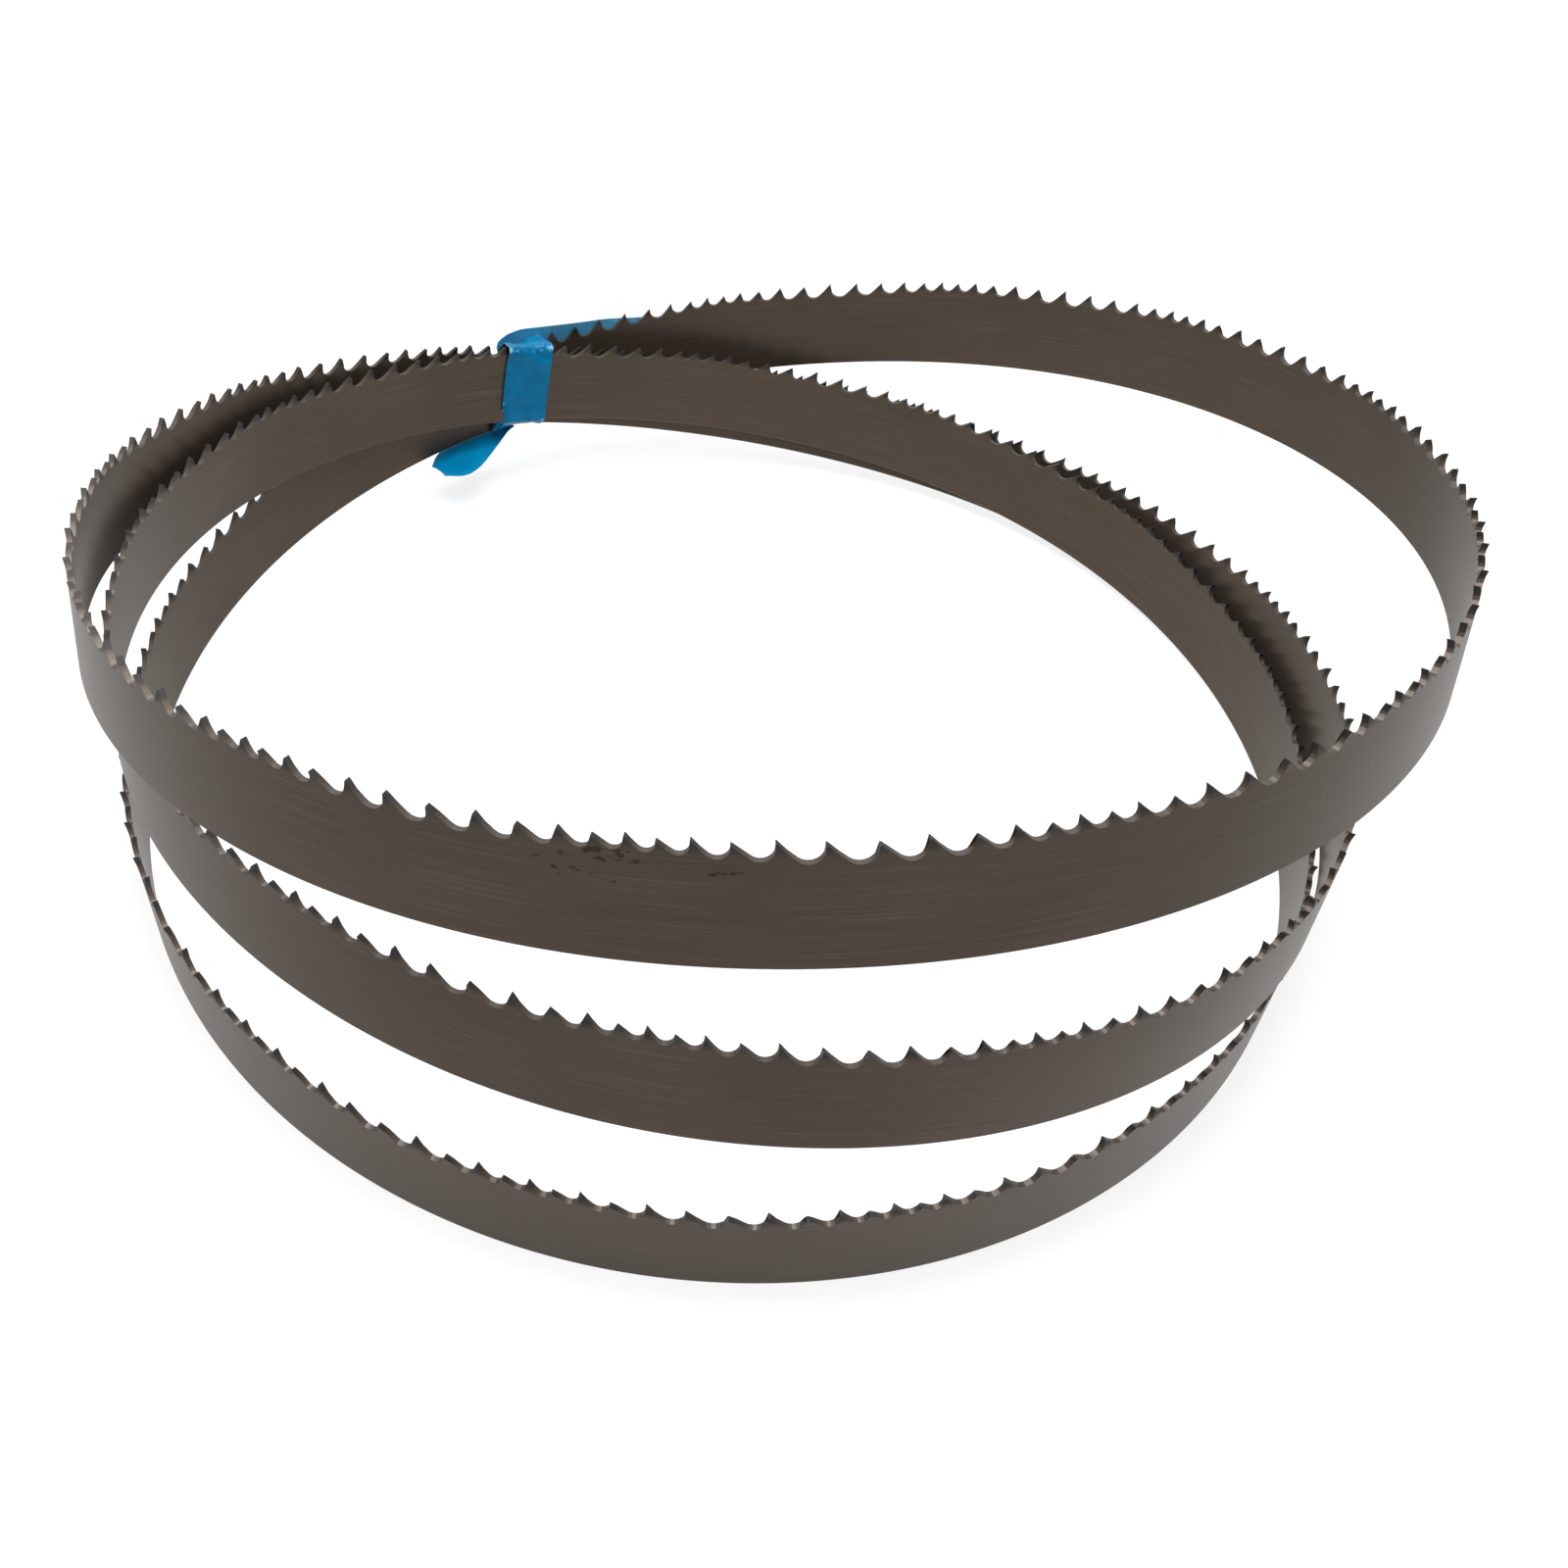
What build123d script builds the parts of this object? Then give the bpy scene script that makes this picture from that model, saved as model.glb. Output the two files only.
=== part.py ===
"""Band saw blade: one closed band of toothed steel, coiled in three turns and gathered with adhesive tape.

Millimetres, +Z up. The origin lies on the table, under the middle of the coil. The band lies as it comes to
rest: its lowest turn on the table, its back edge down and its teeth up. The teeth point along the band's travel,
which runs clockwise when it is seen from above.
"""

from build123d import *
from math import acos, atan2, cos, pi, radians, sin
import os

import numpy as np

# Band
BAND_WIDTH = 12.7
BAND_THICKNESS = 0.65

# Teeth: one group of eleven, from its straight tooth on, repeated round the whole band
GROUPS = 39
PITCHES = [3.95, 3.55, 3.2, 2.7, 2.6, 2.6, 2.95, 3.35, 3.8, 4.05, 4.2]
TEETH_START = 9.1
GULLET_DEPTH_SHARE = 0.46
GULLET_RADIUS_SHARE = 0.27
TIP_LAND = 0.15
CUT_MARGIN = 0.5

# Coil: radius and height of the back edge at each eighth of a turn, clockwise from the start
START_ANGLE = 140.0
STATIONS_PER_TURN = 8
TURN_RADII = [
    [77.5, 78.5, 79.5, 78.0, 74.5, 73.0, 75.5, 78.0],
    [76.5, 75.0, 77.0, 76.0, 74.0, 73.5, 74.5, 76.0],
    [74.5, 73.0, 75.0, 74.0, 74.5, 75.5, 76.5, 77.0],
]
TURN_HEIGHTS = [
    [5.5, 14.5, 28.5, 42.0, 50.0, 50.5, 43.5, 30.5],
    [15.5, 4.5, 1.5, 8.0, 17.5, 24.5, 25.5, 21.5],
    [14.5, 7.0, 1.5, 0.0, 0.0, 0.0, 0.0, 1.0],
]

# Tape: a ring round the three strands, an end that runs on outside them and a tail under them
TAPE_ANGLE = 120.9
TAPE_WIDTH = 7.5
TAPE_THICKNESS = 0.3
TAPE_CLEARANCE = 0.35
BACK_END_LENGTH = 19.0
BACK_END_RISE = 1.6
BACK_END_DROP = -1.3
TAIL_LENGTH = 18.0
TAIL_REACH = 8.0
TAIL_OUTER_REACH = 1.9
TAIL_ROOT_REACH = 1.4


class ClosedSpline:
    """A smooth closed course of values that are evenly spaced by station."""

    def __init__(self, values):
        self.values = np.array(values, dtype=float)
        self.count = len(self.values)
        later = np.roll(np.eye(self.count), 1, axis=1)
        steps = later + later.T - 2 * np.eye(self.count)
        self.bends = np.linalg.solve(steps + 6 * np.eye(self.count), 6 * steps @ self.values)

    def at(self, station):
        lower = int(np.floor(station)) % self.count
        upper = (lower + 1) % self.count
        t = station - np.floor(station)
        value = (1 - t) * self.values[lower] + t * self.values[upper]
        value += ((1 - t) ** 3 - (1 - t)) / 6 * self.bends[lower]
        return value + (t**3 - t) / 6 * self.bends[upper]


class Coil:
    """The band's course. A band bends only about its own width, so its lean follows from how it rises and falls."""

    def __init__(self):
        self.radius = ClosedSpline(np.ravel(TURN_RADII))
        back_height = ClosedSpline(np.ravel(TURN_HEIGHTS))
        per_radian = (STATIONS_PER_TURN / (2 * pi)) ** 2
        rise = back_height.bends * per_radian
        pull = self.radius.values - self.radius.bends * per_radian
        self.lean = ClosedSpline(np.arctan2(-rise, pull))
        self.height = ClosedSpline(back_height.values + BAND_WIDTH / 2 * np.cos(self.lean.values))
        self.marks = np.linspace(0, self.radius.count, 60 * self.radius.count + 1)
        self.middle = np.zeros(3)
        self.middle = self.resting_middle()
        centres = np.array([self.centre(mark) for mark in self.marks])
        runs = np.linalg.norm(np.diff(centres, axis=0), axis=1)
        self.lengths = np.concatenate([[0], np.cumsum(runs)])
        self.length = self.lengths[-1]

    def resting_middle(self):
        """The middle of the coil in plan, at the height of its lowest point."""
        centres = np.array([self.centre(mark) for mark in self.marks])
        drops = [BAND_WIDTH / 2 * cos(self.lean.at(mark)) for mark in self.marks]
        middle = (centres.min(axis=0) + centres.max(axis=0)) / 2
        return np.array([middle[0], middle[1], (centres[:, 2] - drops).min()])

    def centre(self, station):
        angle = radians(START_ANGLE) - 2 * pi * station / STATIONS_PER_TURN
        radius = self.radius.at(station)
        return np.array([radius * cos(angle), radius * sin(angle), self.height.at(station)]) - self.middle

    def length_at(self, angle, turn):
        """The length along the band at which a turn, counted from 0, passes an angle."""
        station = STATIONS_PER_TURN * (turn + (START_ANGLE - angle) / 360)
        return float(np.interp(station, self.marks, self.lengths))

    def frame(self, length):
        """Centre, direction of travel, direction of the teeth and outward direction at a length along the band."""
        station = np.interp(length % self.length, self.lengths, self.marks)
        small = 0.01
        travel = self.centre(station + small) - self.centre(station - small)
        travel /= np.linalg.norm(travel)
        upright = np.array([0, 0, 1]) - travel[2] * travel
        upright /= np.linalg.norm(upright)
        lean = self.lean.at(station)
        teeth = cos(lean) * upright + sin(lean) * np.cross(travel, upright)
        return self.centre(station), travel, teeth, np.cross(teeth, travel)

    def point(self, length, up, out):
        """The point a distance up the band's width and out from its middle surface."""
        centre, _, teeth, outward = self.frame(length)
        return Vector(*(centre + up * teeth + out * outward))

    def strip(self, start, end, low, high, inner, outer):
        """A closed strip that follows the band. Low and high are given at its start and at its end."""

        def edge(ups, out):
            lengths = np.linspace(start, end, 5)
            points = [self.point(length, np.interp(length, [start, end], ups), out) for length in lengths]
            return Edge.make_spline(points)

        def cap(length, at):
            corners = [(low[at], inner), (low[at], outer), (high[at], outer), (high[at], inner)]
            return Face(Wire.make_polygon([self.point(length, *corner) for corner in corners]))

        edges = [edge(low, inner), edge(low, outer), edge(high, outer), edge(high, inner)]
        sides = [Face.make_surface_from_curves(edges[i], edges[(i + 1) % 4]) for i in range(4)]
        return Solid(Shell(sides + [cap(start, 0), cap(end, 1)]))


def gullet(coil, tip, next_tip):
    """The cutter of one gullet: steep face of the tooth behind, hollow floor, sloping back of the tooth ahead."""
    centre, travel, _, outward = coil.frame((tip + next_tip) / 2)
    plane = Plane(Vector(*centre), x_dir=Vector(*travel), z_dir=Vector(*outward))
    pitch = next_tip - tip
    edge = BAND_WIDTH / 2
    face = (TIP_LAND - pitch) / 2
    radius = GULLET_RADIUS_SHARE * pitch
    middle = Vector(face + radius, edge - GULLET_DEPTH_SHARE * pitch + radius)
    land_start = Vector((pitch - TIP_LAND) / 2, edge)
    reach = land_start - middle
    touch = atan2(reach.Y, reach.X) - acos(radius / reach.length)
    leave = middle + Vector(radius * cos(touch), radius * sin(touch))
    deepest = middle + Vector(radius * cos((touch - pi) / 2), radius * sin((touch - pi) / 2))
    above = land_start + (land_start - leave) * (CUT_MARGIN / (edge - leave.Y))
    outline = Polyline((face, middle.Y), (face, above.Y), above, leave, deepest, close=True)
    return extrude(plane * make_face(outline), BAND_THICKNESS, both=True)


def make_band(coil):
    """The toothed band, cut group by group and closed into one solid."""
    group_length = coil.length / GROUPS
    group_tips = np.concatenate([[0], np.cumsum(PITCHES)]) * group_length / sum(PITCHES)
    edge = BAND_WIDTH / 2
    face = BAND_THICKNESS / 2
    outside = []
    for group in range(GROUPS):
        tips = TEETH_START + group * group_length + group_tips
        blank = coil.strip(tips[0], tips[-1], (-edge, -edge), (edge, edge), -face, face)
        toothed = blank - [gullet(coil, tip, next_tip) for tip, next_tip in zip(tips, tips[1:])]
        ends = [coil.point(tip, 0, 0) for tip in (tips[0], tips[-1])]
        for side in toothed.faces():
            if min((side.center() - end).length for end in ends) > BAND_THICKNESS:
                outside.append(side)
    return Solid(Shell(outside))


def make_tape(coil):
    """The tape: ring, back end and tail, wound as one piece."""
    half_width = TAPE_WIDTH / 2
    edge = BAND_WIDTH / 2
    face = BAND_THICKNESS / 2
    places = [coil.length_at(TAPE_ANGLE, turn) for turn in range(3)]
    outward = Vector(cos(radians(TAPE_ANGLE)), sin(radians(TAPE_ANGLE)), 0)
    along = outward.cross(Vector(0, 0, 1))
    section = Plane(Vector(0, 0, 0), x_dir=outward, z_dir=-along)

    strands = []
    for place in places:
        for shift in (-half_width, 0, half_width):
            corners = [(-edge, -face), (edge, -face), (edge, face), (-edge, face)]
            points = [section.to_local_coords(coil.point(place + shift, *corner)) for corner in corners]
            strands += Polyline([(point.X, point.Y) for point in points], close=True).edges()
    inside = offset(make_hull(strands), TAPE_CLEARANCE)
    wall = offset(inside, TAPE_THICKNESS) - inside
    ring = extrude(section * wall, half_width, both=True)

    start = places[0]
    end = start + half_width + BACK_END_LENGTH
    top = (edge + BACK_END_RISE, edge + BACK_END_DROP)
    bottom = (top[0] - TAPE_WIDTH, top[1] - TAPE_WIDTH)
    gap = face + TAPE_CLEARANCE
    back_end = coil.strip(start, end, bottom, top, gap, gap + TAPE_THICKNESS)

    root = coil.point(start - half_width, -edge - TAPE_CLEARANCE, 0)
    tip = coil.point(start - TAIL_LENGTH, -edge - TAPE_CLEARANCE, 0)
    down_side = (tip - root).normalized()
    inward = Vector(0, 0, 1).cross(down_side).normalized()
    tail_plane = Plane(root, x_dir=down_side, z_dir=down_side.cross(inward))
    length = (tip - root).length
    outline = Polyline(
        (-half_width / 2, -TAIL_OUTER_REACH),
        (-half_width / 2, TAIL_ROOT_REACH),
        (length * 0.12, TAIL_ROOT_REACH),
        (length * 0.43, TAIL_REACH * 0.7),
        (length * 0.7, TAIL_REACH),
        (length * 0.94, TAIL_REACH * 0.78),
        (length, TAIL_REACH * 0.3),
        (length * 0.85, -TAIL_OUTER_REACH * 0.6),
        (length * 0.7, -TAIL_OUTER_REACH),
        close=True,
    )
    tail = extrude(tail_plane * make_face(outline), -TAPE_THICKNESS)
    return ring + back_end + tail


coil = Coil()
pieces = {"band": make_band(coil), "tape": make_tape(coil)}
os.makedirs("parts", exist_ok=True)
for name, piece in pieces.items():
    export_step(piece, f"parts/{name}.step")
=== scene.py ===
import bpy
import numpy as np
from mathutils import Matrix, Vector


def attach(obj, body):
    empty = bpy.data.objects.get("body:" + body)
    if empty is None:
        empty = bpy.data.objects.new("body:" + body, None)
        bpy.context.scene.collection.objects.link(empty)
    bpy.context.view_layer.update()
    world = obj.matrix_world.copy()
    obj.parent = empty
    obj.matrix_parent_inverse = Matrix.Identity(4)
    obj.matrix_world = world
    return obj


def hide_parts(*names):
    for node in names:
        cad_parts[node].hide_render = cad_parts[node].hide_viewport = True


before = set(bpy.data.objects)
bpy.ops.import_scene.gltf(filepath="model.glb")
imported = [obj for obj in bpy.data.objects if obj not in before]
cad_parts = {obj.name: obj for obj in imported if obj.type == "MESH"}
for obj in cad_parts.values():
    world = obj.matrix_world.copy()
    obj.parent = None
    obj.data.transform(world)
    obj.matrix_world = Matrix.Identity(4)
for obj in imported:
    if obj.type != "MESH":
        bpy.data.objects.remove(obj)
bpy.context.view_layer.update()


# Course of the band: the closed line that its middle follows through three turns, 1440 mm long.
# A steel band bends only about its own width, so its lean follows from how it rises and falls. Radius and
# height of the back edge are given at each eighth of a turn, clockwise, as in the model of the part.
START_ANGLE = np.radians(140)
STATIONS_PER_TURN = 8
TURN_RADII = [
    [77.5, 78.5, 79.5, 78.0, 74.5, 73.0, 75.5, 78.0],
    [76.5, 75.0, 77.0, 76.0, 74.0, 73.5, 74.5, 76.0],
    [74.5, 73.0, 75.0, 74.0, 74.5, 75.5, 76.5, 77.0],
]
TURN_HEIGHTS = [
    [5.5, 14.5, 28.5, 42.0, 50.0, 50.5, 43.5, 30.5],
    [15.5, 4.5, 1.5, 8.0, 17.5, 24.5, 25.5, 21.5],
    [14.5, 7.0, 1.5, 0.0, 0.0, 0.0, 0.0, 1.0],
]
STEPS_PER_STATION = 60
MM = 0.001
BAND_WIDTH = 12.7 * MM
BAND_THICKNESS = 0.65 * MM


def bends_of(values):
    """Second differences that make a smooth closed course through evenly spaced values."""
    later = np.roll(np.eye(len(values)), 1, axis=1)
    steps = later + later.T - 2 * np.eye(len(values))
    return np.linalg.solve(steps + 6 * np.eye(len(values)), 6 * steps @ values)


def course_of(values, stations):
    """The smooth closed course's values at stations."""
    bends = bends_of(values)
    lower = np.floor(stations).astype(int) % len(values)
    upper = (lower + 1) % len(values)
    t = stations - np.floor(stations)
    value = (1 - t) * values[lower] + t * values[upper]
    return value + ((1 - t) ** 3 - (1 - t)) / 6 * bends[lower] + (t**3 - t) / 6 * bends[upper]


def unit(vectors):
    """The vectors' directions."""
    return vectors / np.linalg.norm(vectors, axis=-1, keepdims=True)


radii = np.ravel(TURN_RADII) * MM
back_heights = np.ravel(TURN_HEIGHTS) * MM
per_radian = (STATIONS_PER_TURN / (2 * np.pi)) ** 2
leans = np.arctan2(-bends_of(back_heights) * per_radian, radii - bends_of(radii) * per_radian)
heights = back_heights + BAND_WIDTH / 2 * np.cos(leans)


def centres_at(stations):
    """Points on the band's middle line, before the coil is moved to the middle of the frame."""
    angles = START_ANGLE - 2 * np.pi * stations / STATIONS_PER_TURN
    radius = course_of(radii, stations)
    return np.stack([radius * np.cos(angles), radius * np.sin(angles), course_of(heights, stations)], axis=-1)


stations = np.linspace(0, len(radii), STEPS_PER_STATION * len(radii) + 1)
unmoved = centres_at(stations)
drops = BAND_WIDTH / 2 * np.cos(course_of(leans, stations))
middle = (unmoved.min(axis=0) + unmoved.max(axis=0)) / 2
middle[2] = (unmoved[:, 2] - drops).min()
run_lengths = np.concatenate([[0], np.cumsum(np.linalg.norm(np.diff(unmoved, axis=0), axis=1))])
BAND_LENGTH = run_lengths[-1]


def course(lengths):
    """Centre, travel, teeth and outward directions of the band at lengths along it."""
    at = np.interp(np.mod(lengths, BAND_LENGTH), run_lengths, stations)
    small = 0.01
    travel = unit(centres_at(at + small) - centres_at(at - small))
    upright = unit(np.array([0, 0, 1.0]) - travel[..., 2:3] * travel)
    lean = course_of(leans, at)[..., None]
    teeth = np.cos(lean) * upright + np.sin(lean) * np.cross(travel, upright)
    return centres_at(at) - middle, travel, teeth, np.cross(teeth, travel)


def length_at(angle, turn):
    """The length along the band at which a turn, counted from 0, passes an angle in degrees."""
    station = STATIONS_PER_TURN * (turn + (np.degrees(START_ANGLE) - angle) / 360)
    return float(np.interp(station, stations, run_lengths))


# Band: one welded steel strip with teeth of varying pitch, six to ten to the inch, in groups of eleven.
# The first tooth of a group is straight and the others are bent by turns to the inside and the outside of the
# coil. A group is drawn flat here, and a node tree repeats it and lays it along the course.
GROUPS = 39
PITCHES = np.array([3.95, 3.55, 3.2, 2.7, 2.6, 2.6, 2.95, 3.35, 3.8, 4.05, 4.2])
TEETH_START = 9.1 * MM
# A gullet's depth, floor radius and back hollow are shares of its pitch
GULLET_DEPTH_SHARE = 0.46
GULLET_RADIUS_SHARE = 0.33
BACK_HOLLOW_SHARE = 0.01
TIP_LAND = 0.1 * MM
TOOTH_SET = 0.22 * MM
SET_DEPTH = 1.0 * MM
SET_CURVE = 1.3
BACK_CHAMFER = 0.09 * MM
# Under the teeth the mesh's columns even out in rows, down to the roots' height
ROOT_HEIGHT = BAND_WIDTH / 2 - 2.1 * MM
ROWS = [1.0, 0.93, 0.7, 0.4, 0.0]
EVENED_SHARE = 0.35
FACE_STEPS = 2
FLOOR_STEPS = 8
BACK_STEPS = 2
group_length = BAND_LENGTH / GROUPS
pitches = PITCHES / PITCHES.sum() * group_length


def gullet_profile(pitch):
    """Points of one gullet from a tip's land to the next: steep face, round floor, slightly hollow back."""
    edge = BAND_WIDTH / 2
    radius = GULLET_RADIUS_SHARE * pitch
    face = TIP_LAND / 2
    floor_middle = np.array([face + radius, edge - GULLET_DEPTH_SHARE * pitch + radius])
    tip = np.array([pitch - TIP_LAND / 2, edge])
    reach = tip - floor_middle
    touch = np.arctan2(reach[1], reach[0]) - np.arccos(radius / np.hypot(*reach))
    turns = np.linspace(-np.pi, touch, FLOOR_STEPS)
    floor = floor_middle + radius * np.stack([np.cos(turns), np.sin(turns)], axis=-1)
    climb = np.linspace(floor[-1], tip, BACK_STEPS + 1)[1:]
    climb[0, 1] -= BACK_HOLLOW_SHARE * pitch
    drop = np.linspace([face, edge], floor[0], FACE_STEPS + 1)[:-1]
    return np.concatenate([drop, floor, climb])


profile = []
tooth_numbers = []
start = 0.0
for number, pitch in enumerate(pitches):
    points = gullet_profile(pitch) + [start, 0]
    nearer_next = np.arange(len(points)) >= FACE_STEPS + FLOOR_STEPS // 2
    profile.append(points)
    tooth_numbers.append(np.where(nearer_next, number + 1, number))
    start += pitch
profile = np.concatenate([[[0, BAND_WIDTH / 2]], *profile, [[group_length, BAND_WIDTH / 2]]])
tooth_numbers = np.concatenate([[0], *tooth_numbers, [len(pitches)]]) % len(pitches)
sides_of_set = np.where(tooth_numbers == 0, 0, np.where(tooth_numbers % 2 == 1, -1, 1))

column_count = len(profile)
even_x = np.linspace(0, group_length, column_count) * EVENED_SHARE + profile[:, 0] * (1 - EVENED_SHARE)
flat_rows = []
for level in ROWS:
    x = even_x + (profile[:, 0] - even_x) * level
    y = ROOT_HEIGHT + (profile[:, 1] - ROOT_HEIGHT) * level
    bent = np.clip((y - (BAND_WIDTH / 2 - SET_DEPTH)) / SET_DEPTH, 0, 1) ** SET_CURVE
    flat_rows.append((np.stack([x, y, sides_of_set * bent * TOOTH_SET], axis=-1), 0.0))
for height, inset in ((-BAND_WIDTH / 2 + BACK_CHAMFER, 0.0), (-BAND_WIDTH / 2, BACK_CHAMFER)):
    flat_rows.append((np.stack([even_x, np.full(column_count, height), np.zeros(column_count)], axis=-1), inset))
row_count = len(flat_rows)
corners = [row + [0, 0, side * (BAND_THICKNESS / 2 - inset)] for side in (1, -1) for row, inset in flat_rows]
verts = np.concatenate(corners)


def corner(side, row, column):
    """The number of a corner of the mesh: side 0 is the outside of the coil and row 0 the line of the teeth."""
    return (side * row_count + row) * column_count + column


quads = []
for column in range(column_count - 1):
    for row in range(row_count - 1):
        quads.append([corner(0, row, column), corner(0, row + 1, column),
                      corner(0, row + 1, column + 1), corner(0, row, column + 1)])
        quads.append([corner(1, row, column), corner(1, row, column + 1),
                      corner(1, row + 1, column + 1), corner(1, row + 1, column)])
    quads.append([corner(0, 0, column), corner(0, 0, column + 1), corner(1, 0, column + 1), corner(1, 0, column)])
    last = row_count - 1
    quads.append([corner(0, last, column), corner(1, last, column),
                  corner(1, last, column + 1), corner(0, last, column + 1)])

group = bpy.data.meshes.new("tooth_group")
group.from_pydata(verts.tolist(), [], quads)
cut_rims = np.zeros(len(verts))
cut_depths = np.zeros(len(verts))
local_pitches = np.interp(profile[:, 0], np.cumsum(pitches) - pitches / 2, pitches)
depths = (BAND_WIDTH / 2 - profile[:, 1]) / (GULLET_DEPTH_SHARE * local_pitches)
for side in range(2):
    cut_rims[corner(side, 0, 0):corner(side, 0, column_count)] = 1
    for row in range(row_count):
        cut_depths[corner(side, row, 0):corner(side, row, column_count)] = depths
for name, amounts in (("cut_rim", cut_rims), ("cut_depth", cut_depths)):
    attribute = group.attributes.new(name, "FLOAT", "POINT")
    attribute.data.foreach_set("value", amounts)
band = bpy.data.objects.new("toothed_band", group)
bpy.context.scene.collection.objects.link(band)

COURSE_STEPS = 1440
WELD_DISTANCE = 0.01 * MM
course_lengths = TEETH_START + np.linspace(0, BAND_LENGTH, COURSE_STEPS + 1)
course_centres, _, course_teeth, course_outward = course(course_lengths)
course_mesh = bpy.data.meshes.new("course")
course_edges = [[step, step + 1] for step in range(COURSE_STEPS)]
course_mesh.from_pydata(course_centres.tolist(), course_edges, [])
for name, vectors in (("teeth_way", course_teeth), ("outward_way", course_outward)):
    attribute = course_mesh.attributes.new(name, "FLOAT_VECTOR", "POINT")
    attribute.data.foreach_set("vector", vectors.ravel())
course_line = bpy.data.objects.new("course", course_mesh)
bpy.context.scene.collection.objects.link(course_line)


class Tree:
    """Adds nodes to a tree: type, settings, then values or links for its sockets by name or number."""

    def __init__(self, tree):
        self.tree = tree

    def add(self, kind, sockets=None, **settings):
        node = self.tree.nodes.new(kind)
        for name, value in settings.items():
            setattr(node, name, value)
        for name, value in (sockets or {}).items():
            socket = node.inputs[name]
            if isinstance(value, Value):
                value = value.socket
            if isinstance(value, bpy.types.NodeSocket):
                self.tree.links.new(value, socket)
            else:
                socket.default_value = value
        return node


class Value:
    """A number in a node tree that can be added, subtracted and multiplied like any other."""

    def __init__(self, nodes, socket):
        self.nodes = nodes
        self.socket = socket

    def math(self, operation, first, second=0.0):
        node = self.nodes.add("ShaderNodeMath", {0: first, 1: second}, operation=operation)
        return Value(self.nodes, node.outputs[0])

    def __add__(self, other):
        return self.math("ADD", self, other)

    def __sub__(self, other):
        return self.math("SUBTRACT", self, other)

    def __rsub__(self, other):
        return self.math("SUBTRACT", other, self)

    def __mul__(self, other):
        return self.math("MULTIPLY", self, other)

    def absolute(self):
        return self.math("ABSOLUTE", self)

    def ramp(self, low, high):
        """0 below low, 1 above high, smooth between."""
        sockets = {"Value": self, "From Min": low, "From Max": high}
        node = self.nodes.add("ShaderNodeMapRange", sockets, interpolation_type="SMOOTHSTEP")
        return Value(self.nodes, node.outputs["Result"])

    __radd__ = __add__
    __rmul__ = __mul__


laying = bpy.data.node_groups.new("lay_teeth_on_course", "GeometryNodeTree")
laying.interface.new_socket("Geometry", in_out="INPUT", socket_type="NodeSocketGeometry")
for name, kind in (
    ("Groups", "NodeSocketInt"),
    ("Group Length", "NodeSocketFloat"),
    ("Course", "NodeSocketObject"),
    ("Material", "NodeSocketMaterial"),
):
    laying.interface.new_socket(name, in_out="INPUT", socket_type=kind)
laying.interface.new_socket("Geometry", in_out="OUTPUT", socket_type="NodeSocketGeometry")
nodes = Tree(laying)
given = nodes.add("NodeGroupInput")
step = nodes.add("ShaderNodeCombineXYZ", {"X": given.outputs["Group Length"]})
row = nodes.add("GeometryNodeMeshLine", {"Count": given.outputs["Groups"], "Offset": step.outputs[0]})
copies = nodes.add("GeometryNodeInstanceOnPoints", {"Points": row.outputs[0], "Instance": given.outputs["Geometry"]})
flat = nodes.add("GeometryNodeRealizeInstances", {0: copies.outputs[0]})
place = nodes.add("GeometryNodeInputPosition")
marked = nodes.add(
    "GeometryNodeStoreNamedAttribute",
    {"Geometry": flat.outputs[0], "Name": "flat", "Value": place.outputs[0]},
    data_type="FLOAT_VECTOR",
    domain="CORNER",
)
parts = nodes.add("ShaderNodeSeparateXYZ", {0: place.outputs[0]})
whole = nodes.add("ShaderNodeMath", {0: given.outputs["Group Length"], 1: given.outputs["Groups"]},
                  operation="MULTIPLY")
share = nodes.add("ShaderNodeMath", {0: parts.outputs["X"], 1: whole.outputs[0]}, operation="DIVIDE")
line = nodes.add("GeometryNodeObjectInfo", {"Object": given.outputs["Course"]})
curve = nodes.add("GeometryNodeMeshToCurve", {0: line.outputs["Geometry"]})
position = None
for name, amount in (("teeth_way", parts.outputs["Y"]), ("outward_way", parts.outputs["Z"])):
    way = nodes.add("GeometryNodeInputNamedAttribute", {"Name": name}, data_type="FLOAT_VECTOR")
    sample = nodes.add(
        "GeometryNodeSampleCurve",
        {"Curves": curve.outputs[0], "Value": way.outputs[0], "Factor": share.outputs[0]},
        data_type="FLOAT_VECTOR",
        mode="FACTOR",
        use_all_curves=False,
    )
    if position is None:
        position = sample.outputs["Position"]
    amounts = nodes.add("ShaderNodeCombineXYZ", {"X": amount, "Y": amount, "Z": amount})
    sockets = {0: sample.outputs["Value"], 1: amounts.outputs[0], 2: position}
    position = nodes.add("ShaderNodeVectorMath", sockets, operation="MULTIPLY_ADD").outputs[0]
laid = nodes.add("GeometryNodeSetPosition", {"Geometry": marked.outputs[0], "Position": position})
joined = nodes.add("GeometryNodeMergeByDistance", {"Geometry": laid.outputs[0], "Distance": WELD_DISTANCE})
realized = nodes.add("GeometryNodeRealizeInstances", {0: joined.outputs[0]})
finished = nodes.add("GeometryNodeSetMaterial",
                     {"Geometry": realized.outputs[0], "Material": given.outputs["Material"]})
nodes.add("NodeGroupOutput", {0: finished.outputs[0]})

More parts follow.
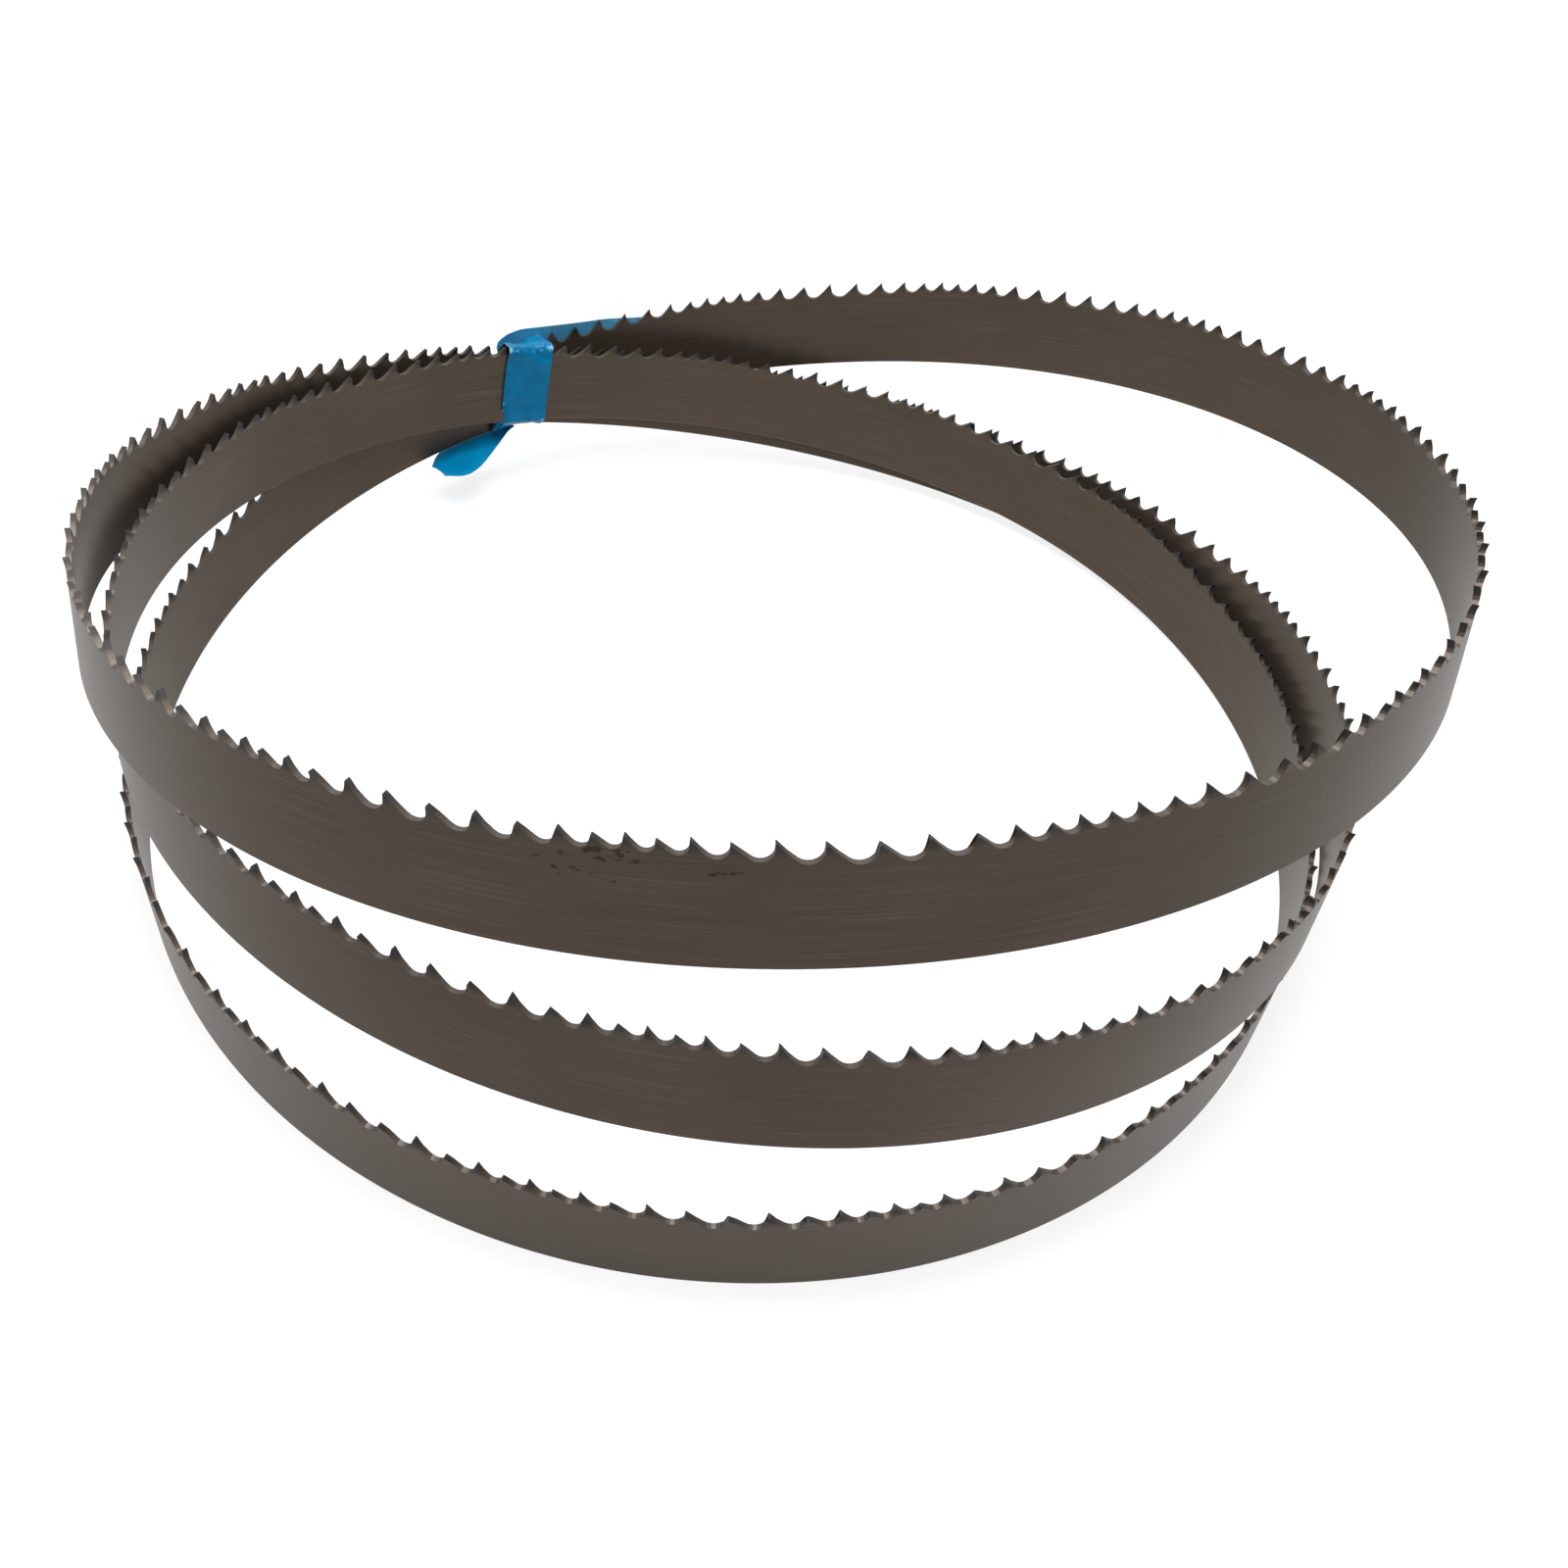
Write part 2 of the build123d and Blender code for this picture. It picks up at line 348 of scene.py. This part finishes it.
steel = bpy.data.materials.new("band_steel_ground")
steel.use_nodes = True
steel.node_tree.nodes.clear()
nodes = Tree(steel.node_tree)
flat_place = nodes.add("ShaderNodeAttribute", attribute_name="flat", attribute_type="GEOMETRY")
flat_parts = nodes.add("ShaderNodeSeparateXYZ", {0: flat_place.outputs["Vector"]})
along = Value(nodes, flat_parts.outputs["X"])
across = Value(nodes, flat_parts.outputs["Y"])
cut_rim, cut_depth = [
    Value(nodes, nodes.add("ShaderNodeAttribute", attribute_name=name, attribute_type="GEOMETRY").outputs["Fac"])
    for name in ("cut_rim", "cut_depth")
]
object_place = nodes.add("ShaderNodeTexCoord").outputs["Object"]


def noise(vector, scale, detail=3.0):
    sockets = {"Vector": vector, "Scale": scale, "Detail": detail, "Roughness": 0.55}
    return Value(nodes, nodes.add("ShaderNodeTexNoise", sockets).outputs["Fac"])


def stretched(x_scale, y_scale):
    """A place on the flat band, scaled along it and across it, for a pattern that follows the band."""
    node = nodes.add("ShaderNodeCombineXYZ", {"X": along * x_scale, "Y": across * y_scale})
    return node.outputs[0]


def mix(factor, first, second):
    node = nodes.add("ShaderNodeMix", {0: factor, 6: first, 7: second}, data_type="RGBA")
    return node.outputs[2]


def srgb(red, green, blue):
    """A colour written as it shows on the real surface, 0 to 255, as Blender's linear colour."""
    shown = np.array([red, green, blue]) / 255
    linear = np.where(shown <= 0.04045, shown / 12.92, ((shown + 0.055) / 1.055) ** 2.4)
    return (*linear.tolist(), 1.0)


# Temper tints, ground streaks, and the cut steel of the gullets, with a painted highlight along its rims.
# A share is how much of a colour shows at most.
BROWN_STEEL = srgb(73, 63, 54)
OLIVE_STEEL = srgb(69, 62, 52)
WARM_STEEL = srgb(79, 67, 59)
TOOTH_STEEL = srgb(42, 44, 48)
CUT_STEEL_AND_HIGHLIGHT = srgb(84, 78, 75)
EDGE_STEEL = srgb(135, 124, 116)
STAIN = srgb(50, 34, 23)
OLIVE_SHARE = 0.6
WARM_SHARE = 0.6
STREAK_SHARE = 0.14
STAIN_SHARE = 0.8
TOOTH_SHARE = 0.75
CUT_HIGHLIGHT_SHARE = 0.7
BACK_RIM_SHARE = 0.6
# Stains on the front strand, in mm: place along the band, reach, height, spread; and how rare their spots are.
STAINS = ((312.6, 1.6, 4.7, 0.9, 0.5), (314.5, 4.0, 3.4, 2.0, 0.62), (303.6, 1.3, 3.4, 1.6, 0.61))
# Scales of the patterns, along the band and across it, per metre
TINT_SCALE = 45.0
WARM_SCALES = (30.0, 60.0)
STREAK_SCALES = (60.0, 9000.0)
FINE_STREAK_SCALES = (400.0, 30000.0)
SPOT_SCALES = (800.0, 1300.0)
METAL_SHARE = 0.5
CLEAR_SHEEN = 0.12
ROUGHNESS = 0.3
STREAK_ROUGHNESS = 0.16
TOOTH_ROUGHNESS = 0.1
tint = noise(object_place, TINT_SCALE).ramp(0.35, 0.65)
warm = noise(stretched(*WARM_SCALES), 1.0).ramp(0.4, 0.7)
colour = mix(tint * OLIVE_SHARE, BROWN_STEEL, OLIVE_STEEL)
colour = mix(warm * WARM_SHARE, colour, WARM_STEEL)
streaks = noise(stretched(*STREAK_SCALES), 1.0, detail=2.0)
fine_streaks = noise(stretched(*FINE_STREAK_SCALES), 1.0, detail=1.0)
colour = mix(streaks.ramp(0.45, 0.75) * STREAK_SHARE, colour, EDGE_STEEL)
spots = noise(stretched(*SPOT_SCALES), 1.0, detail=1.0)
for place, reach, height, spread, rarity in STAINS:
    near = 1 - (along * (1 / MM) - place).absolute().ramp(reach, reach + 1.0)
    near = near * (1 - (across * (1 / MM) - height).absolute().ramp(spread * 0.6, spread))
    colour = mix(spots.ramp(rarity, rarity + 0.07) * near * STAIN_SHARE, colour, STAIN)
tooth_zone = 1 - cut_depth.ramp(0.25, 0.95)
tooth_zone = tooth_zone * across.ramp(BAND_WIDTH / 2 - 1.3 * MM, BAND_WIDTH / 2 - 0.3 * MM)
colour = mix(tooth_zone * TOOTH_SHARE, colour, TOOTH_STEEL)
# Lighter steel at the rims of the deep gullets: partly the cut's own bright steel, partly a painted highlight where
# light catches the cut.
cut_floor_and_highlight = cut_rim.ramp(0.35, 1.0) * cut_depth.ramp(0.45, 0.95)
colour = mix(cut_floor_and_highlight * CUT_HIGHLIGHT_SHARE, colour, CUT_STEEL_AND_HIGHLIGHT)
back_rim = 1 - across.ramp(-BAND_WIDTH / 2 + 0.02 * MM, -BAND_WIDTH / 2 + 0.14 * MM)
colour = mix(back_rim * BACK_RIM_SHARE, colour, EDGE_STEEL)
grain = nodes.add("ShaderNodeBump", {"Strength": 0.12, "Distance": 0.02 * MM,
                                     "Height": streaks + fine_streaks * 0.5})
surface = nodes.add("ShaderNodeBsdfPrincipled", {
    "Base Color": colour,
    "Metallic": METAL_SHARE,
    "Specular IOR Level": CLEAR_SHEEN,
    "Roughness": streaks * STREAK_ROUGHNESS + ROUGHNESS + tooth_zone * TOOTH_ROUGHNESS,
    "Normal": grain.outputs[0],
})
nodes.add("ShaderNodeOutputMaterial", {0: surface.outputs[0]})

modifier = band.modifiers.new("lay_on_course", "NODES")
modifier.node_group = laying
inputs = {"Groups": GROUPS, "Group Length": group_length, "Course": course_line, "Material": steel}
for item in laying.interface.items_tree:
    if item.in_out == "INPUT" and item.name in inputs:
        modifier[item.identifier] = inputs[item.name]
evaluated = band.evaluated_get(bpy.context.evaluated_depsgraph_get())
laid_mesh = bpy.data.meshes.new_from_object(evaluated)
band.modifiers.clear()
band.data = laid_mesh
laid_mesh.name = "toothed_band"
bpy.data.objects.remove(course_line)
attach(band, "root")
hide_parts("band")


# Tape: one strip of thin blue plastic film with adhesive on its inner face. It is wound round the three
# strands, its back end runs on along the outer strand and its tail hangs under that strand. It has gone pale
# where it is creased over the strands' edges, and the teeth under it push it up.
TAPE_ANGLE = 120.9
TAPE_WIDTH = 7.5 * MM
FILM_THICKNESS = 0.12 * MM
FILM_CLEARANCE = 0.2 * MM
RING_POINTS = 132
RING_ROWS = 31
RING_SCAN = 720
SEAM_ANGLE = np.radians(-135)
SECTION_REACH = (-1.5 * MM, 2.4 * MM)
SECTIONS = 49
SMOOTHINGS = 6
# Share of the way round the ring, with its skew along the strands in mm or the share of its width there
SKEWS = [(0.0, -0.9), (0.33, 0.9), (0.42, 1.4), (0.84, 1.4), (1.0, -0.9)]
SPREADS = [(0.0, 1.06), (0.33, 0.93), (0.84, 0.95), (1.0, 1.06)]
# Waves round the ring with their slant and their height in mm; heights and reaches of what lifts the film, in mm
RIPPLES = ((11, 2.3, 0.03), (23, -1.9, 0.025))
EDGE_RIPPLE = 0.03
LIFT = 0.05
TOOTH_PUSH = 0.16
TOOTH_PUSH_REACH = 0.75
TOOTH_SEARCH = 3.0
TENT_HEIGHT = 0.4
TENT_PLACE = 1.1
TENT_REACH = 0.9
# How pale folds, the ring's rims and the marks of the teeth get
FOLD_CREASE = 1.6
FLAT_SHARE = 0.25
TOOTH_CREASE = 0.25
RIM_CREASE = 0.05
edge = BAND_WIDTH / 2
face = BAND_THICKNESS / 2
half_width = TAPE_WIDTH / 2
tape_lengths = np.array([length_at(TAPE_ANGLE, turn) for turn in range(3)])
outward_way = np.array([np.cos(np.radians(TAPE_ANGLE)), np.sin(np.radians(TAPE_ANGLE)), 0])
along_way = np.array([outward_way[1], -outward_way[0], 0])
film_verts = []
film_quads = []
film_amounts = {"crease": [], "backing": [], "paleness": []}


def add_film(sheet, closed=False, **amounts):
    """One sheet of film from a grid of points on its inner face, with its thickness and its edges.

    Crease is how sharply it is folded, backing is 1 where it lies on the dark steel and 0 where it hangs free and
    light shining through it is painted into its colour, and paleness is how much of its matt adhesive side shows.
    """
    rows, columns = sheet.shape[:2]
    first = np.gradient(sheet, axis=0)
    if closed:
        second = np.roll(sheet, -1, axis=1) - np.roll(sheet, 1, axis=1)
    else:
        second = np.gradient(sheet, axis=1)
    outer = sheet + FILM_THICKNESS * unit(np.cross(first, second))
    start = sum(len(verts) for verts in film_verts)
    film_verts.append(np.concatenate([sheet.reshape(-1, 3), outer.reshape(-1, 3)]))
    for name, gathered in film_amounts.items():
        gathered.append(np.tile(np.broadcast_to(amounts.get(name, 0.0), (rows, columns)).ravel(), 2))

    def at(layer, row, column):
        return start + (layer * rows + row) * columns + column % columns

    for column in range(columns if closed else columns - 1):
        after = column + 1
        for row in range(rows - 1):
            film_quads.append([at(1, row, column), at(1, row + 1, column), at(1, row + 1, after), at(1, row, after)])
            film_quads.append([at(0, row, column), at(0, row, after), at(0, row + 1, after), at(0, row + 1, column)])
        last = rows - 1
        film_quads.append([at(0, 0, column), at(1, 0, column), at(1, 0, after), at(0, 0, after)])
        film_quads.append([at(0, last, column), at(0, last, after), at(1, last, after), at(1, last, column)])
    if not closed:
        last = columns - 1
        for row in range(rows - 1):
            film_quads.append([at(0, row, 0), at(0, row + 1, 0), at(1, row + 1, 0), at(1, row, 0)])
            film_quads.append([at(0, row, last), at(1, row, last), at(1, row + 1, last), at(0, row + 1, last)])


def ring_section(shift):
    """The closed line that a taut film takes round the three strands, at a distance along them."""
    centres, _, teeth, outward = course(tape_lengths + shift)
    corners = [centres + up * teeth + out * outward for up in (-edge, edge) for out in (-face, face)]
    corners = np.concatenate(corners)
    flat = np.stack([corners @ outward_way, corners[:, 2]], axis=-1)
    turns = SEAM_ANGLE - np.linspace(0, 2 * np.pi, RING_SCAN + 1)
    ways = np.stack([np.cos(turns), np.sin(turns)], axis=-1)
    line = flat[np.argmax(ways @ flat.T, axis=1)] + FILM_CLEARANCE * ways
    runs = np.concatenate([[0], np.cumsum(np.linalg.norm(np.diff(line, axis=0), axis=1))])
    even = np.linspace(0, runs[-1], RING_POINTS + 1)[:-1]
    out, up = np.interp(even, runs, line[:, 0]), np.interp(even, runs, line[:, 1])
    far = (centres @ along_way).mean()
    return out[:, None] * outward_way + up[:, None] * np.array([0, 0, 1.0]) + far * along_way


section_shifts = np.linspace(-half_width + SECTION_REACH[0], half_width + SECTION_REACH[1], SECTIONS)
sections = np.array([ring_section(shift) for shift in section_shifts])
for _ in range(SMOOTHINGS):
    sections[1:-1] = (sections[:-2] + 2 * sections[1:-1] + sections[2:]) / 4
round_share = np.arange(RING_POINTS) / RING_POINTS
skew = np.interp(round_share, *np.transpose(SKEWS)) * MM
spread = np.interp(round_share, *np.transpose(SPREADS))
ring_shifts = np.linspace(-half_width, half_width, RING_ROWS)
ring = np.zeros((RING_ROWS, RING_POINTS, 3))
for column in range(RING_POINTS):
    for axis in range(3):
        places = ring_shifts * spread[column] + skew[column]
        ring[:, column, axis] = np.interp(places, section_shifts, sections[:, column, axis])
way_round = np.roll(ring, -1, axis=1) - np.roll(ring, 1, axis=1)
ring_out = unit(np.cross(np.gradient(ring, axis=0), way_round))
bending = np.linalg.norm(np.roll(ring_out, -1, axis=1) - np.roll(ring_out, 1, axis=1), axis=-1)
way_angle = 2 * np.pi * round_share[None, :]
width_share = (ring_shifts / half_width)[:, None]
ripple = sum(height * np.sin(waves * way_angle + slant * width_share) for waves, slant, height in RIPPLES)
ripple = ripple + EDGE_RIPPLE * np.sin(5 * way_angle + 1.3) * width_share**2
tips = TEETH_START + (np.arange(GROUPS)[:, None] * group_length + np.cumsum(pitches) - pitches[0]).ravel()
push = np.zeros(ring.shape[:2])
for place in tape_lengths:
    near = tips[np.abs(tips - place) < half_width + TOOTH_SEARCH * MM]
    centres, _, teeth, _ = course(near)
    for point in centres + edge * teeth:
        push = np.maximum(push, np.exp(-(np.linalg.norm(ring - point, axis=-1) / (TOOTH_PUSH_REACH * MM)) ** 2))
ring = ring + ring_out * ((ripple + LIFT + TOOTH_PUSH * push) * MM)[..., None]
middle_row = RING_ROWS // 2
round_runs = np.cumsum(np.linalg.norm(np.diff(ring[middle_row], axis=0), axis=1))
top_fold = np.argmax(bending[middle_row, :RING_POINTS // 2])
from_top = (round_runs[top_fold] - np.concatenate([[0], round_runs])) / MM
tent = np.where(from_top > 0, TENT_HEIGHT * np.exp(-(((from_top - TENT_PLACE) / TENT_REACH) ** 2)), 0)
ring = ring + ring_out * (tent[None, :] * MM)[..., None]
border = np.abs(width_share) ** 6
creases = np.clip(bending * FOLD_CREASE, 0, 1) * (FLAT_SHARE + (1 - FLAT_SHARE) * border)
creases = creases + TOOTH_CREASE * push + RIM_CREASE * border
add_film(ring, closed=True, crease=creases, backing=1.0)

# Upper edge of the back end, in mm: along the band from the ring, and up from the band's middle
BACK_END_TOP = [(-1.3, 6.6), (-1.0, 7.3), (-0.2, 7.75), (0.9, 8.05), (3.1, 8.15), (7.6, 7.4), (13.5, 6.5),
                (17.9, 5.9), (22.8, 5.0)]
BACK_END_CLEARANCES = [(4.5, 0.5), (9.0, 0.2)]
BACK_END_WAVE = 0.05
BACK_END_FLUTTER = 0.06
back_lengths = np.linspace(BACK_END_TOP[0][0], BACK_END_TOP[-1][0], 66)
back_tops = np.interp(back_lengths, *np.transpose(BACK_END_TOP))
back_rows = np.linspace(0, 1, 13)
centres, _, teeth, outward = course(tape_lengths[0] + back_lengths * MM)
clear = np.interp(back_lengths, *np.transpose(BACK_END_CLEARANCES)) + BACK_END_WAVE * np.sin(back_lengths * 0.9)
flutter = np.sin(back_lengths[:, None] * 0.45 + back_rows * 7)
clear = clear[:, None] + BACK_END_FLUTTER * flutter + BACK_END_FLUTTER
up = back_tops[:, None] - back_rows * TAPE_WIDTH / MM
back_end = centres[:, None] + (up * MM)[..., None] * teeth[:, None]
back_end = back_end + (face + clear * MM)[..., None] * outward[:, None]
back_border = np.clip(1 - back_rows / 0.1, 0, 1)
back_share = np.linspace(0, 1, len(back_lengths))[:, None]
add_film(back_end, crease=0.25 * back_border + 0.3 * back_share, backing=0.5 * back_share,
         paleness=0.13 + 0.11 * back_share)

# Outer and inner edge of the tail, in mm: back along the band from the ring, and towards the middle of the coil
TAIL_OUTER = [(1.5, -1.2), (3.4, -1.2), (6.0, -1.75), (8.6, -1.85), (12.7, -1.25), (15.2, -0.5), (17.4, 1.6)]
TAIL_INNER = [(1.5, 0.5), (2.6, 0.8), (4.8, 2.5), (8.1, 4.7), (11.0, 6.4), (14.2, 7.0), (16.9, 4.6)]
TAIL_DROP = 0.5
TAIL_CURL = 1.4
TAIL_WAVE = 0.08
CORNER_CUTS = 3
tail_share = np.linspace(0, 1, 45)
tail_rows = np.linspace(0, 1, 15)


def rounded(line, shares):
    """Points at shares of a line whose corners have been cut off a few times."""
    line = np.array(line)
    for _ in range(CORNER_CUTS):
        cut = np.stack([line[:-1] * 0.75 + line[1:] * 0.25, line[:-1] * 0.25 + line[1:] * 0.75], axis=1)
        line = np.concatenate([line[:1], cut.reshape(-1, 2), line[-1:]])
    at = np.linspace(0, 1, len(line))
    return np.stack([np.interp(shares, at, column) for column in line.T], axis=-1)


outer_line = rounded(TAIL_OUTER, tail_share)
inner_line = rounded(TAIL_INNER, tail_share)
tail = outer_line[:, None] + (inner_line - outer_line)[:, None] * tail_rows[:, None]
centres, _, teeth, _ = course(tape_lengths[0] - tail[..., 0] * MM)
inward = unit(centres * np.array([-1, -1, 0]))
dip = TAIL_DROP + TAIL_CURL * tail_share[:, None] * (tail_rows - 0.35) ** 2
dip = dip + TAIL_WAVE * np.sin(9 * tail_share[:, None] + 3 * tail_rows)
tail_sheet = centres - (edge + dip * MM)[..., None] * teeth + (tail[..., 1:2] * MM) * inward
tail_creases = 0.1 + 0.5 * np.exp(-((tail_share[:, None] - 0.1) / 0.05) ** 2)
add_film(tail_sheet[::-1], crease=tail_creases[::-1])

film_mesh = bpy.data.meshes.new("blue_film_tape")
film_mesh.from_pydata(np.concatenate(film_verts).tolist(), [], film_quads)
for name, gathered in film_amounts.items():
    attribute = film_mesh.attributes.new(name, "FLOAT", "POINT")
    attribute.data.foreach_set("value", np.concatenate(gathered))
film_mesh.shade_smooth()
film_mesh.set_sharp_from_angle(angle=np.radians(50))
film_tape = bpy.data.objects.new("blue_film_tape", film_mesh)
bpy.context.scene.collection.objects.link(film_tape)

# Film colours, two tones each: where it hangs free the film is painted lighter, as painted light shining through it;
# on the steel it is darker.
FREE_FILM_PAINTED_BACKLIGHT = (srgb(0, 108, 152), srgb(0, 120, 168))
BACKED_FILM = (srgb(0, 91, 131), srgb(0, 104, 147))
PALE_FILM = srgb(140, 196, 215)
RUBBED_SHARE = 0.6
FILM_ROUGHNESS = 0.34
RUBBED_ROUGHNESS = 0.2
FILM_SHEEN = 0.06
film = bpy.data.materials.new("blue_film")
film.use_nodes = True
film.node_tree.nodes.clear()
nodes = Tree(film.node_tree)
object_place = nodes.add("ShaderNodeTexCoord").outputs["Object"]
crease, backing, paleness = [
    Value(nodes, nodes.add("ShaderNodeAttribute", attribute_name=name, attribute_type="GEOMETRY").outputs["Fac"])
    for name in film_amounts
]
shade = noise(object_place, 260.0).ramp(0.3, 0.7)
# Painted light: the film that hangs free is lighter, as if lit through from behind, and the film on the steel is
# darker.
colour = mix(backing, mix(shade, *FREE_FILM_PAINTED_BACKLIGHT), mix(shade, *BACKED_FILM))
colour = mix(paleness, colour, PALE_FILM)
rubbed = crease * noise(object_place, 1500.0, detail=4.0).ramp(0.35, 0.65)
colour = mix(rubbed.ramp(0.12, 0.7) * RUBBED_SHARE, colour, PALE_FILM)
wrinkles = noise(object_place, 420.0) + noise(object_place, 1600.0) * 0.3
wrinkled = nodes.add("ShaderNodeBump", {"Strength": 0.2, "Distance": 0.2 * MM, "Height": wrinkles})
surface = nodes.add("ShaderNodeBsdfPrincipled", {
    "Base Color": colour,
    "Roughness": rubbed * RUBBED_ROUGHNESS + FILM_ROUGHNESS,
    "Specular IOR Level": FILM_SHEEN,
    "Normal": wrinkled.outputs[0],
})
nodes.add("ShaderNodeOutputMaterial", {0: surface.outputs[0]})
film_mesh.materials.append(film)
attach(film_tape, "root")
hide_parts("tape")


# Floor and backdrop: one white sheet that the coil lies on. It is white to the camera and in reflections, and
# near the coil a part of its own shading shows, so that it keeps the coil's shadow.
FLOOR_REACH = 3.0
FADE = (0.12, 0.35)
NEAR_WHITENING = 0.75
PAPER_WHITE = 1.05
floor_mesh = bpy.data.meshes.new("floor")
sheet_corners = [(-FLOOR_REACH, -FLOOR_REACH), (FLOOR_REACH, -FLOOR_REACH), (FLOOR_REACH, FLOOR_REACH),
                 (-FLOOR_REACH, FLOOR_REACH)]
floor_mesh.from_pydata([(x, y, 0) for x, y in sheet_corners], [], [(0, 1, 2, 3)])
floor = bpy.data.objects.new("floor", floor_mesh)
bpy.context.scene.collection.objects.link(floor)
white = bpy.data.materials.new("white_paper")
white.use_nodes = True
white.node_tree.nodes.clear()
nodes = Tree(white.node_tree)


def seen_as_background():
    """1 for what the camera sees of the background, directly, through glass or mirrored in metal."""
    path = nodes.add("ShaderNodeLightPath")
    direct, mirrored, through = [
        Value(nodes, path.outputs[name]) for name in ("Is Camera Ray", "Is Glossy Ray", "Is Transmission Ray")
    ]
    return direct + mirrored + through


from_middle = nodes.add("ShaderNodeVectorMath", {0: nodes.add("ShaderNodeTexCoord").outputs["Object"]},
                        operation="LENGTH")
far = Value(nodes, from_middle.outputs["Value"]).ramp(*FADE)
whitening = seen_as_background() * (far * (1 - NEAR_WHITENING) + NEAR_WHITENING)
paper = nodes.add("ShaderNodeBsdfDiffuse", {"Color": (0.9, 0.9, 0.9, 1)})
glow = nodes.add("ShaderNodeEmission", {"Color": (1, 1, 1, 1), "Strength": PAPER_WHITE})
whitened = nodes.add("ShaderNodeMixShader", {0: whitening, 1: paper.outputs[0], 2: glow.outputs[0]})
nodes.add("ShaderNodeOutputMaterial", {0: whitened.outputs[0]})
floor_mesh.materials.append(white)

# World and lamps: an even room, lighter above, with one soft lamp over the coil and two in front of it.
# The world is white where the camera or a reflection sees it.
WORLD_SIDE = 0.15
WORLD_TOP = 0.6
WORLD_RISE = (0.0, 0.7)
LAMPS = (
    ("over_light", (-0.03, 0.02, 0.42), 0.3, 2.6),
    ("key_light", (-0.5, -0.5, 0.9), 0.8, 0.9),
    ("fill_light", (0.7, -0.2, 0.7), 0.8, 0.06),
)
world = bpy.data.worlds.new("studio")
world.use_nodes = True
world.node_tree.nodes.clear()
nodes = Tree(world.node_tree)
way = nodes.add("ShaderNodeSeparateXYZ", {0: nodes.add("ShaderNodeTexCoord").outputs["Generated"]})
height = Value(nodes, way.outputs["Z"])
seen = seen_as_background()
lit = height.ramp(*WORLD_RISE) * (WORLD_TOP - WORLD_SIDE) + WORLD_SIDE
strength = lit * (1 - seen) + seen
sky = nodes.add("ShaderNodeBackground", {"Color": (1, 1, 1, 1), "Strength": strength})
nodes.add("ShaderNodeOutputWorld", {0: sky.outputs[0]})
bpy.context.scene.world = world

for name, place, size, power in LAMPS:
    lamp = bpy.data.lights.new(name, "AREA")
    lamp.size = size
    lamp.energy = power
    lamp_object = bpy.data.objects.new(name, lamp)
    lamp_object.location = place
    lamp_object.rotation_euler = (-Vector(place)).to_track_quat("-Z", "Y").to_euler()
    bpy.context.scene.collection.objects.link(lamp_object)


# Camera: where the photograph was taken from, looking down on the coil from the front. Its axis passes
# through a point of the picture that isn't its middle, so the lens is shifted.
CAMERA_PLACE = (0.35 * MM, -161.3 * MM, 157.35 * MM)
CAMERA_TURN = (45.11, -1.69, 7.21)
PICTURE_SIDE = 1600
FOCAL_LENGTH = 1673.5
AXIS_POINT = (623.8, 784.4)
SENSOR = 36.0
camera_data = bpy.data.cameras.new("camera")
camera_data.sensor_width = SENSOR
camera_data.lens = FOCAL_LENGTH / PICTURE_SIDE * SENSOR
camera_data.shift_x = (PICTURE_SIDE / 2 - AXIS_POINT[0]) / PICTURE_SIDE
camera_data.shift_y = (AXIS_POINT[1] - PICTURE_SIDE / 2) / PICTURE_SIDE
camera_data.clip_start = 0.01
camera = bpy.data.objects.new("camera", camera_data)
camera.location = CAMERA_PLACE
camera.rotation_euler = np.radians(CAMERA_TURN)
bpy.context.scene.collection.objects.link(camera)
bpy.context.scene.camera = camera
bpy.context.scene.view_settings.view_transform = "Standard"
